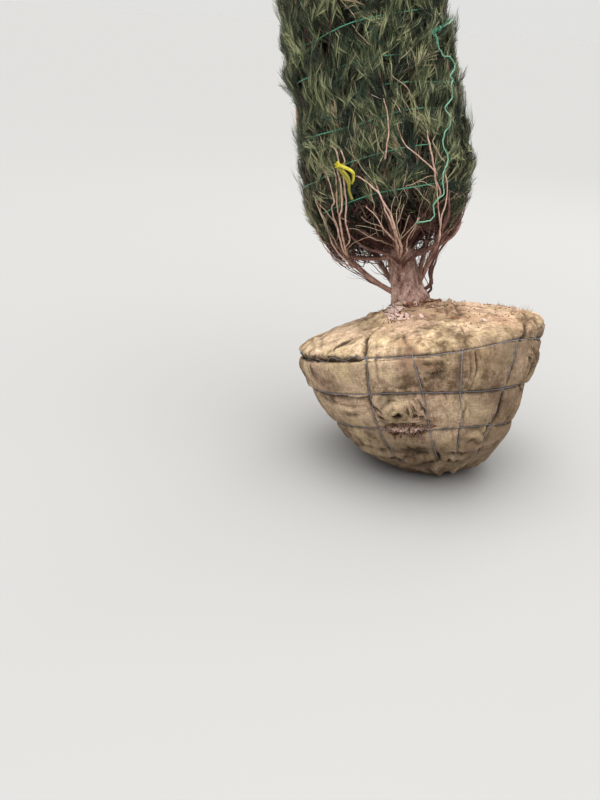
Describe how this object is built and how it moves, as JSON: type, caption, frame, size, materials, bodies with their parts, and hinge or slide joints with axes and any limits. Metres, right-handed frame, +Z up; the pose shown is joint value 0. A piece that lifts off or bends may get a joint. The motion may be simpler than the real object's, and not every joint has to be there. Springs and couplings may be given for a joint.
{
  "type": "young white pine with burlapped root ball",
  "caption": "Tied-up young white pine leaning on its burlap-wrapped, twine-laced root ball: bare trunk and lower boughs, then bundled masses of needles up to the leader.",
  "frame": {"origin": "middle of the flat patch that the root ball stands on, at ground level", "axes": "+Z up, -Y towards the front; the tree leans to -X and, a little more, to +Y"},
  "size_m": [1.153, 1.2193, 3.206],
  "materials": {
    "burlap": "coarse woven jute, weathered",
    "soil": "damp reddish clay",
    "twine": "grey-blue twine",
    "trunk_bark": "rough fissured bark",
    "bough_bark": "smooth young bark",
    "needles": "bundled needles"
  },
  "bodies": {
    "root": {"bough_fifth_back_left": "bough_bark", "bough_fifth_back_right": "bough_bark", "bough_fifth_front": "bough_bark", "bough_fourth_back": "bough_bark", "bough_fourth_front": "bough_bark", "bough_fourth_left": "bough_bark", "bough_fourth_right": "bough_bark", "bough_lowest_back_left": "bough_bark", "bough_lowest_back_right": "bough_bark", "bough_lowest_front": "bough_bark", "bough_lowest_left": "bough_bark", "bough_lowest_right": "bough_bark", "bough_second_back_left": "bough_bark", "bough_second_back_right": "bough_bark", "bough_second_front": "bough_bark", "bough_second_left": "bough_bark", "bough_second_right": "bough_bark", "bough_third_back": "bough_bark", "bough_third_front": "bough_bark", "bough_third_left": "bough_bark", "bough_third_right": "bough_bark", "burlap_lacing": "twine", "burlap_wrap": "burlap", "needles_high_back_left": "needles", "needles_high_back_right": "needles", "needles_high_front": "needles", "needles_lower_back_left": "needles", "needles_lower_back_right": "needles", "needles_lower_front": "needles", "needles_lower_left": "needles", "needles_lower_right": "needles", "needles_middle_back": "needles", "needles_middle_front": "needles", "needles_middle_left": "needles", "needles_middle_right": "needles", "needles_skirt_back_left": "needles", "needles_skirt_back_right": "needles", "needles_skirt_front": "needles", "needles_skirt_left": "needles", "needles_skirt_right": "needles", "needles_tip": "needles", "needles_upper_back": "needles", "needles_upper_front": "needles", "needles_upper_left": "needles", "needles_upper_right": "needles", "root_ball_soil": "soil", "trunk": "trunk_bark"}
  },
  "joints": []
}
